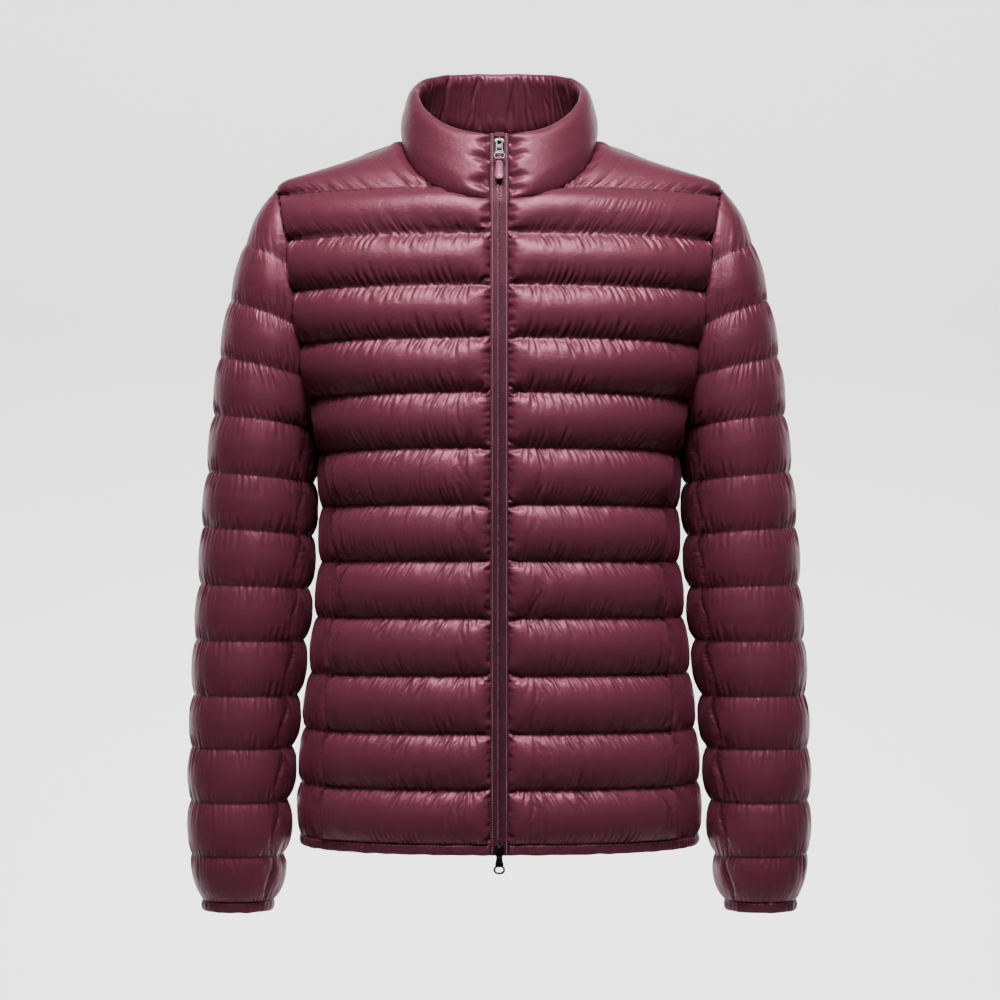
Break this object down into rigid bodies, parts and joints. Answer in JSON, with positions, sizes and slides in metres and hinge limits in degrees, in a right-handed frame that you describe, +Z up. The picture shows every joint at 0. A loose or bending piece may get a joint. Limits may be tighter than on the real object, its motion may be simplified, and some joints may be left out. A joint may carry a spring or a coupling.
{
  "type": "puffer jacket",
  "caption": "Light quilted puffer jacket, filled out and worn by no one: stand collar, horizontal channels, side panels, bound hem and cuffs, full two-way zip.",
  "frame": {"origin": "level with the wearer's shoulders, on the axis of the neck: the middle of the neck opening's width, in the plane of the shoulder seams", "axes": "+Z up, -Y the front with the zip, +X the wearer's left"},
  "size_m": [0.5722, 0.2556, 0.7846],
  "materials": {
    "plum_shell": "satin nylon, down filled",
    "plum_trim": "matte woven nylon",
    "zip_coil": "moulded nylon coil",
    "gunmetal": "polished gunmetal plate",
    "black_metal": "black coated",
    "pull_tab": "soft plum polymer"
  },
  "bodies": {
    "jacket": {"front_left": "plum_shell", "front_right": "plum_shell", "side_left": "plum_shell", "side_right": "plum_shell", "back": "plum_shell", "sleeve_left": "plum_shell", "sleeve_right": "plum_shell", "collar": "plum_shell", "hem_binding": "plum_trim", "cuff_left": "plum_trim", "cuff_right": "plum_trim", "zip_tape_left": "plum_trim", "zip_tape_right": "plum_trim", "zip_garage": "plum_trim", "zip_coil": "zip_coil", "top_slider": "gunmetal", "bottom_slider": "black_metal"},
    "top_link": {"top_pull_link": "gunmetal"},
    "top_tab": {"top_pull_tab": "pull_tab"},
    "bottom_link": {"bottom_pull": "black_metal"}
  },
  "joints": [
    {"name": "top_link_swing", "type": "hinge", "parent": "jacket", "child": "top_link", "pos_m": [0, -0.07991, -0.00459], "axis": [-1, 0, 0], "range_deg": [0, 150]},
    {"name": "top_tab_swing", "type": "hinge", "parent": "top_link", "child": "top_tab", "pos_m": [0, -0.08586, -0.0219], "axis": [-1, 0, 0], "range_deg": [0, 60]},
    {"name": "bottom_pull_swing", "type": "hinge", "parent": "jacket", "child": "bottom_link", "pos_m": [0, -0.1314, -0.6295], "axis": [-1, 0, 0], "range_deg": [0, 150]}
  ]
}
